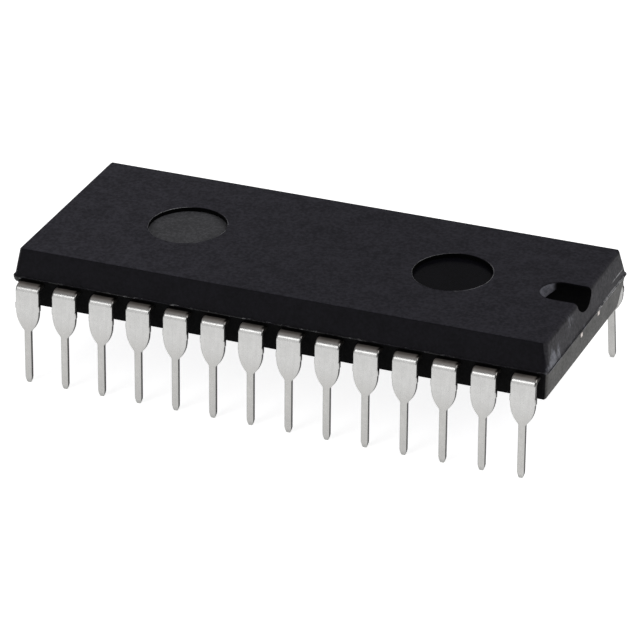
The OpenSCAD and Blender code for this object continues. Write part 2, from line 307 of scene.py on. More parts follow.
def grain_group():
    """Mould grain: fine pits and a broader unevenness. Height is their sum, and Tone runs round 0.5."""
    tree, given, out = new_group(
        "mould_grain",
        {"Place": "NodeSocketVector", "Fine": "NodeSocketFloat", "Broad": "NodeSocketFloat"},
        {"Height": "NodeSocketFloat", "Tone": "NodeSocketFloat"},
    )
    fine = noise(tree, given.outputs["Place"], given.outputs["Fine"], detail=4.0, roughness=0.65)
    broad = noise(tree, given.outputs["Place"], given.outputs["Broad"])
    height = maths(tree, "MULTIPLY_ADD", broad, BROAD_HEIGHT, fine)
    tone = maths(tree, "MULTIPLY_ADD", fine, FINE_TONE, maths(tree, "MULTIPLY", broad, BROAD_TONE))
    tree.links.new(height, out.inputs["Height"])
    tree.links.new(tone, out.inputs["Tone"])
    return tree


UNSCUFFED = 0.78
SCUFF_GAIN = 0.42
SCUFF_SOFTNESS = 0.2


def scuff_group():
    """Scuffs: noise above a threshold that falls as Amount rises, torn by a finer noise."""
    tree, given, out = new_group(
        "scuffs",
        {"Place": "NodeSocketVector", "Scale": "NodeSocketFloat", "Amount": "NodeSocketFloat"},
        {"Mask": "NodeSocketFloat"},
    )
    patches = noise(tree, given.outputs["Place"], given.outputs["Scale"], detail=5.0, roughness=0.7)
    lowered = maths(tree, "MULTIPLY", given.outputs["Amount"], SCUFF_GAIN)
    threshold = maths(tree, "SUBTRACT", UNSCUFFED, lowered)
    mask = ease(tree, patches, threshold, maths(tree, "ADD", threshold, SCUFF_SOFTNESS))
    tree.links.new(mask, out.inputs["Mask"])
    return tree


MOULD_GRAIN = grain_group()
SCUFFS = scuff_group()

# Painted light and shade: the top is painted lighter towards the far end and darker towards the notch.
EPOXY_TOP_FAR_LIT = (0.040, 0.0385, 0.0475, 1)
EPOXY_TOP_NEAR_SHADED = (0.0312, 0.0300, 0.0375, 1)
# Painted shade: the long walls, and darker still the lower long walls, get darker copies of the compound.
EPOXY_SIDE_SHADED = (0.0040, 0.0036, 0.0058, 1)
EPOXY_LOWER_SHADED = (0.0008, 0.0008, 0.001, 1)
# Painted light: the end walls get lighter copies of the compound, the lower one a painted reflection of
# the white table.
EPOXY_END_LIT = (0.0268, 0.0258, 0.030, 1)
EPOXY_END_LOWER_LIT = (0.058, 0.057, 0.055, 1)
# Painted reflections: the far mark's floor is painted pale and the near one's dark.
MARK_FLOOR_PALE_REFLECTION = (0.074, 0.0735, 0.079, 1)
MARK_FLOOR_DARK_REFLECTION = (0.004, 0.0038, 0.0055, 1)
# Painted shade: the notch and the ejector marks' walls are painted black where shade falls in them.
RECESS_SHADE_BLACK = (0.001, 0.001, 0.0013, 1)
# Painted highlight on the notch's rounded inner end, which faces the light.
NOTCH_END_HIGHLIGHT = (0.26, 0.26, 0.3, 1)
# Scuffs, and at the front corner also a painted highlight on the glossy wear there.
SCUFF_AND_HIGHLIGHT_GREY = (0.178, 0.184, 0.21, 1)
# Pale wear, and on the burrs' side that faces the light a painted glint.
WEAR_AND_GLINT_PALE = (0.3, 0.3, 0.31, 1)

# A pair gives where a look starts and where it is full. RUN is along the body, HEIGHTS are
# above the floor and RISE is above the parting line, in millimetres, and FACING is a part of
# the surface's own direction. A spot's centre and reach are each across the body and up.
TOP_SHADE_RUN = (-15.0, 5.0)
SIDE_FACING = (0.35, 0.9)
END_FACING = (0.5, 0.76)
END_SKEW = (-0.22, 0.25)
OFF_TOP_FACING = (0.9, 0.7)
NOTCHED_END_FACING = (0.2, 0.8)
LOWER_HEIGHTS = (PARTING_Z + 0.03, PARTING_Z - 0.05)

BAND_RISE = (0.5, 0.05)
BAND_AMOUNT = 0.6
CORNER_SCUFF_AND_HIGHLIGHT = ((-5.6, 0.3), (2.4, 1.6))
NOTCH_SCUFF = ((-2.6, 1.2), (1.3, 1.2))
NOTCH_SCUFF_AMOUNT = 0.78
SCUFF_STRETCH = (1, 1, 0.45)
SCUFF_SCALE = 0.9
SCUFF_RISE = (-0.2, 0.05)
SCUFF_STRENGTH = 0.7
SCRATCH = ((5.5, 0.5), (1.4, 0.07))
RIDGE = ((4.3, 0.0), (3.4, 0.16))
WEAR_SCALE = 2.2
WEAR_NOISE = (0.36, 0.56)
SPOT_CORE = 0.2

SUNK_Z = PARTING_Z + 0.4
MARK_MARGIN = 0.1
MARK_WALL_HEIGHTS = (BODY_TOP.z - 0.005, BODY_TOP.z - 0.03)
MARK_WALL_FACING = (0.6, 0.3)
MARK_FLOOR_HEIGHTS = (BODY_TOP.z - 0.12, BODY_TOP.z - 0.2)
MARK_FLOOR_FACING = (0.6, 0.9)
BURR_HEIGHTS = (BODY_TOP.z + 0.001, BODY_TOP.z + 0.01)
BURR_FACING = (0.1, 0.5)
NOTCH_HEIGHTS = (BODY_TOP.z - 0.02, BODY_TOP.z - 0.12)
NOTCH_END_FACING = (0.4, 0.7)
NOTCH_REST_FACING = (0.7, 0.4)

# Two limits of the grain's tone, and the shade or the roughness at each of them.
GRAIN_SHADES = (0.35, 0.65, 0.68, 1.32)
GRAIN_ROUGHNESS = (0.3, 0.7, 0.6, 0.5)
FLOOR_POLISH = -0.3
WALL_DULLNESS = 0.4
GRAIN_LOST = -0.92


def near_spot(tree, across, up, spot):
    """A mask that falls from one in the spot's core to zero at its edge: the length of the way to the
    spot's centre, each part of it divided by the spot's reach that way."""
    centre, reach = spot
    sideways = maths(tree, "DIVIDE", maths(tree, "SUBTRACT", across, centre[0]), reach[0])
    upward = maths(tree, "DIVIDE", maths(tree, "SUBTRACT", up, centre[1]), reach[1])
    squares = maths(tree, "MULTIPLY_ADD", sideways, sideways, maths(tree, "MULTIPLY", upward, upward))
    return ease(tree, maths(tree, "SQRT", squares), 1.0, SPOT_CORE)


def wall_masks(tree, z, nx, ny, nz):
    """Masks of the long walls, of the end walls and of the lower half, where shade and light are painted.
    Above the parting line the end walls' limit shifts with height by END_SKEW, so that the painted light
    of the ends reaches further round the corners near the top."""
    at_side = ease(tree, maths(tree, "ABSOLUTE", ny), *SIDE_FACING)
    lower = ease(tree, z, *LOWER_HEIGHTS)
    upper = maths(tree, "SUBTRACT", 1.0, lower)
    skew = all_of(tree, ease(tree, z, PARTING_Z, BODY_TOP.z, *END_SKEW), upper)
    facing_end = maths(tree, "ADD", maths(tree, "ABSOLUTE", nx), skew)
    at_end = all_of(tree, ease(tree, facing_end, *END_FACING), ease(tree, nz, *OFF_TOP_FACING))
    return at_side, at_end, lower


def scuff_mask(tree, place, y, from_parting, nx):
    """Grey scuffs on the notched end's upper wall: a band along the parting line, a patch at the front
    corner, where the grey is also a painted highlight on glossy wear, and a smaller one beside the notch."""
    band = ease(tree, maths(tree, "ABSOLUTE", from_parting), *BAND_RISE)
    corner = near_spot(tree, y, from_parting, CORNER_SCUFF_AND_HIGHLIGHT)
    beside_notch = near_spot(tree, y, from_parting, NOTCH_SCUFF)
    beside_notch = maths(tree, "MULTIPLY", beside_notch, NOTCH_SCUFF_AMOUNT)
    amount = maths(tree, "MAXIMUM", maths(tree, "MULTIPLY", band, BAND_AMOUNT), corner)
    amount = maths(tree, "MAXIMUM", amount, beside_notch)
    drawn_out = stretched(tree, place, SCUFF_STRETCH)
    scuffs = use_group(tree, SCUFFS, Place=drawn_out, Scale=SCUFF_SCALE, Amount=amount)
    upper_wall = ease(tree, from_parting, *SCUFF_RISE, 0.0, SCUFF_STRENGTH)
    return all_of(tree, scuffs.outputs["Mask"], ease(tree, nx, *NOTCHED_END_FACING), upper_wall)


def worn_mask(tree, place, y, from_parting, nx):
    """Pale wear at the back of the notched end: a scratch above the parting line and the ridge of the
    line itself, both broken up by noise."""
    scratch = near_spot(tree, y, from_parting, SCRATCH)
    ridge = near_spot(tree, y, from_parting, RIDGE)
    lines = maths(tree, "MAXIMUM", scratch, ridge)
    whole = ease(tree, noise(tree, place, WEAR_SCALE, detail=4.0, roughness=0.7), *WEAR_NOISE)
    return all_of(tree, lines, ease(tree, nx, *NOTCHED_END_FACING), whole)


def mark_masks(tree, x, y, z, nx, nz):
    """Masks of the ejector marks' walls, painted black as shade, of the side of their burrs that faces
    the light, where a glint is painted, and of the far mark's floor and the other one's, which carry a
    pale and a dark painted reflection."""
    upper = maths(tree, "GREATER_THAN", z, SUNK_Z)
    off_middle = maths(tree, "ABSOLUTE", x)
    in_row = maths(tree, "LESS_THAN", maths(tree, "ABSOLUTE", y), MARK_R + MARK_MARGIN)
    by_mark = maths(tree, "LESS_THAN", off_middle, MARK_X + MARK_R + MARK_MARGIN)
    by_mark = all_of(tree, in_row, by_mark, upper)
    wall = all_of(tree, by_mark, ease(tree, z, *MARK_WALL_HEIGHTS), ease(tree, nz, *MARK_WALL_FACING))
    # A painted glint on the side of the burrs that faces the light.
    burr = all_of(tree, by_mark, ease(tree, z, *BURR_HEIGHTS), ease(tree, nx, *BURR_FACING))
    floor = all_of(tree, ease(tree, z, *MARK_FLOOR_HEIGHTS), upper, ease(tree, nz, *MARK_FLOOR_FACING))
    floor = all_of(tree, floor, maths(tree, "LESS_THAN", off_middle, MARK_X + MARK_R))
    far_floor = all_of(tree, floor, maths(tree, "LESS_THAN", x, 0.0))
    near_floor = all_of(tree, floor, maths(tree, "GREATER_THAN", x, 0.0))
    return wall, burr, floor, far_floor, near_floor


def notch_masks(tree, x, y, z, nx):
    """Masks of the notch's rounded inner end, which faces the light and is given a painted highlight,
    and of the rest of it, which is painted black as shade.
    """
    past_inner_end = maths(tree, "GREATER_THAN", x, NOTCH_INNER_X)
    between_sides = maths(tree, "LESS_THAN", maths(tree, "ABSOLUTE", y), NOTCH_HALF_W)
    upper = maths(tree, "GREATER_THAN", z, SUNK_Z)
    notch = all_of(tree, past_inner_end, between_sides, ease(tree, z, *NOTCH_HEIGHTS), upper)
    by_inner_end = maths(tree, "LESS_THAN", x, NOTCH_INNER_X + NOTCH_END_LEN)
    inner_end = all_of(tree, notch, by_inner_end, ease(tree, nx, *NOTCH_END_FACING))
    return inner_end, all_of(tree, notch, ease(tree, nx, *NOTCH_REST_FACING))


def epoxy_material():
    """Moulding compound over the whole body. The top's colour, painted lighter towards the far end,
    lies under the others, and each mask lays the colour of its place over those before it: most of
    them are painted shade, light, highlights or reflections. The grain shades them all. It is lost
    on the marks' floors and in the notch, and the notch and the lower long walls are the dullest."""
    material, shader = new_material("moulding_compound", IOR=1.5)
    shader.inputs["Specular IOR Level"].default_value = 0.09
    tree = material.node_tree
    place, x, y, z = millimetres(tree)
    nx, ny, nz = facing(tree)
    from_parting = maths(tree, "SUBTRACT", z, PARTING_Z)
    at_side, at_end, lower = wall_masks(tree, z, nx, ny, nz)
    lower_side = all_of(tree, lower, at_side)
    mark_wall, burr, mark_floor, far_floor, near_floor = mark_masks(tree, x, y, z, nx, nz)
    notch_end, notch = notch_masks(tree, x, y, z, nx)

    colour = blend(tree, ease(tree, x, *TOP_SHADE_RUN), EPOXY_TOP_FAR_LIT, EPOXY_TOP_NEAR_SHADED)
    for mask, laid_over in (
        (at_side, EPOXY_SIDE_SHADED),
        (lower_side, EPOXY_LOWER_SHADED),
        (at_end, blend(tree, lower, EPOXY_END_LIT, EPOXY_END_LOWER_LIT)),
        (scuff_mask(tree, place, y, from_parting, nx), SCUFF_AND_HIGHLIGHT_GREY),
        (worn_mask(tree, place, y, from_parting, nx), WEAR_AND_GLINT_PALE),
        (mark_wall, RECESS_SHADE_BLACK),
        (burr, WEAR_AND_GLINT_PALE),
        (notch_end, NOTCH_END_HIGHLIGHT),
        (notch, RECESS_SHADE_BLACK),
        (far_floor, MARK_FLOOR_PALE_REFLECTION),
        (near_floor, MARK_FLOOR_DARK_REFLECTION),
    ):
        colour = blend(tree, mask, colour, laid_over)

    grain = use_group(tree, MOULD_GRAIN, Place=place, Fine=GRAIN_SCALE, Broad=MOTTLE_SCALE)
    tone = grain.outputs["Tone"]
    tree.links.new(scaled(tree, colour, ease(tree, tone, *GRAIN_SHADES)), shader.inputs["Base Color"])

    roughness = maths(tree, "MULTIPLY_ADD", mark_floor, FLOOR_POLISH, ease(tree, tone, *GRAIN_ROUGHNESS))
    dull = maths(tree, "MAXIMUM", notch, lower_side)
    roughness = maths(tree, "MULTIPLY_ADD", dull, WALL_DULLNESS, roughness)
    tree.links.new(roughness, shader.inputs["Roughness"])

    smooth = maths(tree, "ADD", mark_floor, notch, clamp=True)
    rough_skin = maths(tree, "MULTIPLY_ADD", smooth, GRAIN_LOST, 1.0)
    height = maths(tree, "MULTIPLY", grain.outputs["Height"], rough_skin)
    add_relief(tree, shader, height, GRAIN_DEPTH)
    return material


def smooth_by_angle():
    """Geometry nodes for a CAD node: joins its loose triangles, shades it smooth, and keeps each edge
    sharper than SMOOTH_ANGLE sharp."""
    tree = bpy.data.node_groups.new("join_and_smooth", "GeometryNodeTree")
    tree.interface.new_socket("Geometry", in_out="INPUT", socket_type="NodeSocketGeometry")
    tree.interface.new_socket("Geometry", in_out="OUTPUT", socket_type="NodeSocketGeometry")
    given = tree.nodes.new("NodeGroupInput")
    out = tree.nodes.new("NodeGroupOutput")
    plain = add_node(tree, "GeometryNodeRemoveAttribute", {"Name": "custom_normal"})
    joined = add_node(tree, "GeometryNodeMergeByDistance", {"Distance": WELD_GAP})
    round_faces = add_node(tree, "GeometryNodeSetShadeSmooth", domain="FACE")
    soft_edges = add_node(tree, "GeometryNodeSetShadeSmooth", domain="EDGE")
    hard_edges = add_node(tree, "GeometryNodeSetShadeSmooth", {"Shade Smooth": False}, domain="EDGE")
    angle = add_node(tree, "GeometryNodeInputMeshEdgeAngle")
    sharp = add_node(tree, "FunctionNodeCompare", {"B": SMOOTH_ANGLE}, data_type="FLOAT",
                     operation="GREATER_THAN")
    chain = [given, plain, joined, round_faces, soft_edges, hard_edges, out]
    for before, after in zip(chain, chain[1:]):
        tree.links.new(before.outputs[0], after.inputs[0])
    tree.links.new(angle.outputs["Unsigned Angle"], sharp.inputs["A"])
    tree.links.new(sharp.outputs["Result"], hard_edges.inputs["Selection"])
    return tree


JOIN_AND_SMOOTH = smooth_by_angle()


def dress_node(name, material):
    """Gives a CAD node its material, and smooth shading over its curves."""
    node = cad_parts[name]
    for slot in node.material_slots:
        slot.material = material
    modifier = node.modifiers.new("join_and_smooth", "NODES")
    modifier.node_group = JOIN_AND_SMOOTH


EPOXY = epoxy_material()
dress_node("moulded_body", EPOXY)

# Formed leads
# Each is stamped from thin copper alloy strip, tinned, bent down at the shoulder and
# splayed. The punch rolls the outer edges over and leaves the inner ones square, and the
# shear that cut the dam bar away leaves a small stub on each side.
LEADS_PER_ROW = 14
LEAD_PITCH = 2.54
ROW_SPACING = 15.24
SHOULDER_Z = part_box("lead_15")[1][2] / MM
SHEET = 0.25
SPLAY = math.radians(4.4)
BEND_R = 0.22
LEAD_W = 1.6
PIN_W = 0.47
PIN_LEN = 3.45
TAPER_R = 1.9
NECK_R = 0.2
TIP_CUT_W = 0.11
TIP_CUT_H = 0.4
TIP_THINNING = 0.5
STUB_OUT = 0.05
STUB_LEAST = 0.5
STUB_LEN = 0.35
STUB_RAMP = 0.05
STUB_S = 5.15
STUB_SEED = 28
HALF_BODY_W = 7.0
TAB_IN = 1.0
SKIN_IN = 0.1
ROLL_OVER = (0.1, 0.085)
BACK_EDGE = (0.02, 0.02)
MOST_REACH = 0.5
MOST_DEPTH = 0.45
FLAT_GUARD = 0.12

MID_Z = SHOULDER_Z - SHEET / 2
BEND_Z = SHOULDER_Z - SHEET - BEND_R
BEND_Y = ROW_SPACING / 2 - (BEND_R + SHEET / 2) * math.cos(SPLAY)
LEG_LENGTH = (BEND_Z + BEND_R * math.sin(SPLAY)) / math.cos(SPLAY)
BEND_END = LEG_LENGTH + (BEND_R + SHEET / 2) * (math.pi / 2 - SPLAY)
TAPER_SIDE = TAPER_R - LEAD_W / 2
NECK_X = PIN_W / 2 + NECK_R
NECK_RUN = math.sqrt((TAPER_R + NECK_R) ** 2 - (TAPER_SIDE + NECK_X) ** 2)
TAPER_S = PIN_LEN + NECK_RUN
MEET_S = TAPER_S - NECK_RUN * TAPER_R / (TAPER_R + NECK_R)

# Places of the section along the leg, closest on the tip's curve and the stub's ramps, and how
# many there are on each other stretch and round each corner of the section.
TIP_PLACES = np.array([0, 0.02, 0.05, 0.1, 0.16, 0.23, 0.32, TIP_CUT_H])
STUB_PLACES = STUB_S + STUB_LEN / 2 * np.array([-1.4, -1.15, -1, 1, 1.15, 1.4])
PAST_STUB = STUB_S + 0.4
SHOULDER_STEPS = 5
BEND_STEPS = 15
PIN_STEPS = 14
NECK_STEPS = 8
TAPER_STEPS = 18
WIDE_STEPS = 5
QUARTER_STEPS = 5


def leg_half_width(s):
    """Half the leg's width at s, the distance along it from its tip. The tip narrows by TIP_CUT_W
    times the 1.5th power of how far s lies into it, the pin is straight, a hollow arc of NECK_R leads
    into a full arc of TAPER_R, and that meets the straight wide part."""
    tip = PIN_W / 2 - TIP_CUT_W * np.clip(1 - s / TIP_CUT_H, 0, 1) ** 1.5
    neck = NECK_X - np.sqrt(np.clip(NECK_R ** 2 - (s - PIN_LEN) ** 2, 0, None))
    taper = np.sqrt(np.clip(TAPER_R ** 2 - (TAPER_S - s) ** 2, 0, None)) - TAPER_SIDE
    steps = [s < TIP_CUT_H, s < PIN_LEN, s < MEET_S, s < TAPER_S]
    return np.select(steps, [tip, PIN_W / 2, neck, taper], LEAD_W / 2)


def stub_width(s, amount):
    """How far the dam bar's stub stands out at s: a flat-topped bump with short ramps."""
    return amount * np.clip((STUB_LEN / 2 + STUB_RAMP - np.abs(s - STUB_S)) / STUB_RAMP, 0, 1)


def lead_path():
    """The lead's middle line from inside the body to the pin's tip, as y and z of points, the outward
    direction of the sheet's face there, and s, the distance to the tip along the leg. The shoulder is
    straight, the bend is an arc of 90 degrees less the splay, and the leg is straight."""
    shoulder = np.linspace(HALF_BODY_W - SKIN_IN, BEND_Y, SHOULDER_STEPS)[:-1]
    turn = np.linspace(math.pi / 2, SPLAY, BEND_STEPS)
    pin_part = np.linspace(TIP_CUT_H, PIN_LEN, PIN_STEPS)[1:]
    neck_part = np.linspace(PIN_LEN, MEET_S, NECK_STEPS)[1:]
    taper_part = np.linspace(MEET_S, TAPER_S, TAPER_STEPS)[1:]
    wide_part = np.linspace(PAST_STUB, LEG_LENGTH, WIDE_STEPS)
    leg_s = np.concatenate([TIP_PLACES, pin_part, neck_part, taper_part, STUB_PLACES, wide_part])
    leg_s = leg_s[::-1][1:]
    middle = BEND_R + SHEET / 2
    y = np.concatenate([shoulder, BEND_Y + middle * np.cos(turn),
                        BEND_Y + middle * math.cos(SPLAY) + (LEG_LENGTH - leg_s) * math.sin(SPLAY)])
    z = np.concatenate([np.full(len(shoulder), MID_Z), BEND_Z + middle * np.sin(turn),
                        BEND_Z + middle * math.sin(SPLAY) - (LEG_LENGTH - leg_s) * math.cos(SPLAY)])
    out_angle = np.concatenate([np.full(len(shoulder), math.pi / 2), turn, np.full(len(leg_s), SPLAY)])
    arc = middle * (turn[0] - turn)
    s = np.concatenate([LEG_LENGTH + arc[-1] + (BEND_Y - shoulder), LEG_LENGTH + arc[-1] - arc, leg_s])
    return y, z, out_angle, s


def edge_section():
    """The strip's section as unit steps round its four corners: for each point, which corner it belongs
    to, the cosine and sine of its angle, and the corner's two radii. The outer corners are wide and
    shallow, the inner ones nearly square. A point just past each corner keeps the flats flat."""
    quarter = np.linspace(0, math.pi / 2, QUARTER_STEPS)
    outer = [(1, 1, 0, ROLL_OVER), (-1, 1, 1, ROLL_OVER)]
    inner = [(-1, -1, 2, BACK_EDGE), (1, -1, 3, BACK_EDGE)]
    rows = []
    for side, face, turn, (wide, deep) in outer + inner:
        angle = quarter + turn * math.pi / 2
        cosine, sine = np.cos(angle), np.sin(angle)
        guard_x, guard_y = -FLAT_GUARD * sine, FLAT_GUARD * cosine
        cosine = np.concatenate([[cosine[0] - guard_x[0]], cosine, [cosine[-1] + guard_x[-1]]])
        sine = np.concatenate([[sine[0] - guard_y[0]], sine, [sine[-1] + guard_y[-1]]])
        rows += [(side, face, c, n, wide, deep) for c, n in zip(cosine, sine)]
    return np.array(rows).T


def tube_faces(rings, around):
    """Quads between rings of a closed tube, and a face at each end."""
    i, j = np.meshgrid(np.arange(rings - 1), np.arange(around), indexing="ij")
    following = (j + 1) % around
    quads = np.stack([i * around + j, i * around + following,
                      (i + 1) * around + following, (i + 1) * around + j], axis=-1)
    ends = [list(range(around - 1, -1, -1)), list(range((rings - 1) * around, rings * around))]
    return quads.reshape(-1, 4).tolist() + ends


def lead_outside(left_stub, right_stub):
    """The lead from the body's wall to its tip: the section carried along the path. A point's sideways
    place is side * (half width - radius) + radius * cosine, and its place through the sheet is
    face * (half thickness - depth) + depth * sine. The sheet thins towards the tip. Returns points,
    faces and each point's strip place."""
    y, z, out_angle, s = lead_path()
    side, face, cosine, sine, wide, deep = edge_section()
    half = leg_half_width(np.minimum(s, LEG_LENGTH))
    half_right = half + stub_width(s, right_stub)
    half_left = half + stub_width(s, left_stub)
    half_side = np.where(side > 0, half_right[:, None], half_left[:, None])
    coined = 1 - TIP_THINNING * np.clip(1 - s / TIP_CUT_H, 0, 1) ** 2
    half_sheet = SHEET / 2 * coined[:, None]
    reach = np.minimum(wide, MOST_REACH * half_side)
    depth = np.minimum(deep, MOST_DEPTH * half_sheet)
    across = side * (half_side - reach) + reach * cosine
    through = face * (half_sheet - depth) + depth * sine
    points = np.stack([
        across,
        -(y[:, None] + through * np.cos(out_angle)[:, None]),
        z[:, None] + through * np.sin(out_angle)[:, None],
    ], axis=-1).reshape(-1, 3)
    strip = np.stack([across, np.broadcast_to(s[:, None], across.shape), through], axis=-1).reshape(-1, 3)
    return points, tube_faces(len(s), len(side)), strip


# The key hole, and the fingers. Those within LONG_FINGERS pitches of the middle reach the die
# pad's long side, and the others reach its ends.
KEY_R = 0.25
KEY_RAYS = 36
FIRST_RAY = 0.01
TINY = 1e-9
PAD_HALF_LEN = 4.0
PAD_HALF_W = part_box("die_pad")[1][1] / MM
TIP_GAP = 0.3
FINGER_WIDTHS = np.array([0.5, 0.5, 0.28, 0.28])
FINGER_TIP_LEN = 0.45
LONG_FINGERS = 4
LONG_TIP_PITCH = 1.1
SHORT_TIP_PITCH = 0.7
SHORT_TIP_FIRST = 0.75


def keyed_tab():
    """The wide part inside the body, with the round hole that keys it: a ring whose inner edge is the
    hole and whose outer edge is where each ray from the hole's centre meets the tab's rectangle."""
    key_y = HALF_BODY_W - TAB_IN / 2
    half_x, inward, outward = LEAD_W / 2, TAB_IN / 2, TAB_IN / 2 - SKIN_IN
    corner_rays = [math.atan2(y, x) for y in (inward, -outward) for x in (half_x, -half_x)]
    even_rays = np.linspace(-math.pi, math.pi, KEY_RAYS, endpoint=False) + FIRST_RAY
    ray = np.sort(np.concatenate([even_rays, corner_rays]))
    way = np.stack([np.cos(ray), np.sin(ray)], axis=-1)
    to_side = half_x / np.maximum(np.abs(way[:, 0]), TINY)
    to_end = np.where(way[:, 1] > 0, inward, outward) / np.maximum(np.abs(way[:, 1]), TINY)
    rim = way * np.minimum(to_side, to_end)[:, None]
    hole = way * KEY_R
    low, high = SHOULDER_Z - SHEET, SHOULDER_Z
    rings = []
    for plan, level in ((hole, low), (hole, high), (rim, high), (rim, low)):
        rings.append(np.column_stack([plan[:, 0], plan[:, 1] - key_y, np.full(len(ray), level)]))
    points = np.stack(rings, axis=1).reshape(-1, 3)
    i, j = np.meshgrid(np.arange(len(ray)), np.arange(4), indexing="ij")
    after_i, after_j = (i + 1) % len(ray), (j + 1) % 4
    quads = np.stack([i * 4 + j, i * 4 + after_j, after_i * 4 + after_j, after_i * 4 + j], axis=-1)
    return points, quads.reshape(-1, 4).tolist()


def finger(column):
    """The finger from the tab to beside the die pad: a flat strip along a line of four points, mitred
    at each by the sum of its neighbours' sideways directions over one plus their product."""
    start = np.array([column * LEAD_PITCH, TAB_IN - HALF_BODY_W])
    if abs(column) < LONG_FINGERS:
        tip = np.array([column * LONG_TIP_PITCH, -PAD_HALF_W - TIP_GAP])
        knee = tip - (0, FINGER_TIP_LEN)
    else:
        rank = (LEADS_PER_ROW - 1) / 2 - abs(column)
        tip = np.array([math.copysign(PAD_HALF_LEN + TIP_GAP, column),
                        -SHORT_TIP_FIRST - rank * SHORT_TIP_PITCH])
        knee = np.array([start[0] - math.copysign(tip[1] - start[1], column), tip[1]])
    line = np.array([start - (0, FINGER_WIDTHS[0] / 2), start, knee, tip])
    along = np.diff(line, axis=0)
    along /= np.linalg.norm(along, axis=1)[:, None]
    left = np.column_stack([-along[:, 1], along[:, 0]])
    joined = (left[:-1] + left[1:]) / (1 + np.sum(left[:-1] * left[1:], axis=1))[:, None]
    left = np.concatenate([left[:1], joined, left[-1:]])
    half = left * FINGER_WIDTHS[:, None] / 2
    low, high = SHOULDER_Z - SHEET, SHOULDER_Z
    corners = [(line + half, low), (line + half, high), (line - half, high), (line - half, low)]
    points = np.stack([np.column_stack([plan, np.full(4, level)]) for plan, level in corners], axis=1)
    return points.reshape(-1, 3), tube_faces(4, 4)


STREAK_STRETCH = (14, 0.7, 14)
STREAK_TONE = 0.5
WAVE_HEIGHT = 1.6
WAVE_TONE = 0.5


def streak_group():
    """Marks of rolling and plating on metal strip: long streaks and a faint waviness. Tone runs round
    0.5."""
    tree, given, out = new_group(
        "rolled_strip",
        {"Place": "NodeSocketVector", "Wave": "NodeSocketFloat"},
        {"Height": "NodeSocketFloat", "Tone": "NodeSocketFloat"},
    )
    drawn_out = stretched(tree, given.outputs["Place"], STREAK_STRETCH)
    streaks = noise(tree, drawn_out, 1.0, detail=4.0, roughness=0.7)
    waves = noise(tree, given.outputs["Place"], given.outputs["Wave"], detail=2.0)
    height = maths(tree, "MULTIPLY_ADD", waves, WAVE_HEIGHT, streaks)
    tone = maths(tree, "MULTIPLY_ADD", waves, WAVE_TONE, maths(tree, "MULTIPLY", streaks, STREAK_TONE))
    tree.links.new(height, out.inputs["Height"])
    tree.links.new(tone, out.inputs["Tone"])
    return tree


ROLLED_STRIP = streak_group()

TIN = (0.478, 0.476, 0.469, 1)
TIN_WARM = (0.54, 0.49, 0.455, 1)
# Painted reflection: the strip at the wall and one rolled edge of the shoulder are painted dark, as they
# mirror the black body.
TIN_DARK_REFLECTION = (0.03, 0.027, 0.025, 1)
# Painted reflection: the leg's sheared sides are painted dark, as they mirror the shade under the body.
TIN_SIDE_DARK_REFLECTION = (0.038, 0.037, 0.035, 1)
TIN_PIN = (0.425, 0.421, 0.41, 1)
TIN_TIP = (0.36, 0.36, 0.35, 1)

# Pairs as for the body, but RUN is along the strip from its tip and ACROSS from its middle.
# Four numbers also give the values at the two.
PIN_RUN = (TAPER_S, PIN_LEN)
SHOULDER_RUN = (LEG_LENGTH + 0.2, LEG_LENGTH + 0.5)
WALL_REFLECTION_RUN = (BEND_END + 0.08, BEND_END + 0.28)
SHEARED_FACING = (0.6, 0.9)
SHEARED_RUN = (LEG_LENGTH, LEG_LENGTH - 0.3, 0.95, 1.0)
DARK_REFLECTION_ACROSS = (LEAD_W / 2 - 0.25, LEAD_W / 2 - 0.08)
DARK_REFLECTION_RUN = (LEG_LENGTH + 0.28, LEG_LENGTH + 0.5)
TIP_RUN = (0.3, 0.05)
STREAK_SHADES = (0.3, 0.7, 0.94, 1.05)
TIN_ROUGHNESS = (0.3, 0.7, 0.23, 0.31)
SHEARED_DULLNESS = 0.16
SHOULDER_DULLNESS = 0.24
STREAK_DEPTH = 0.0005


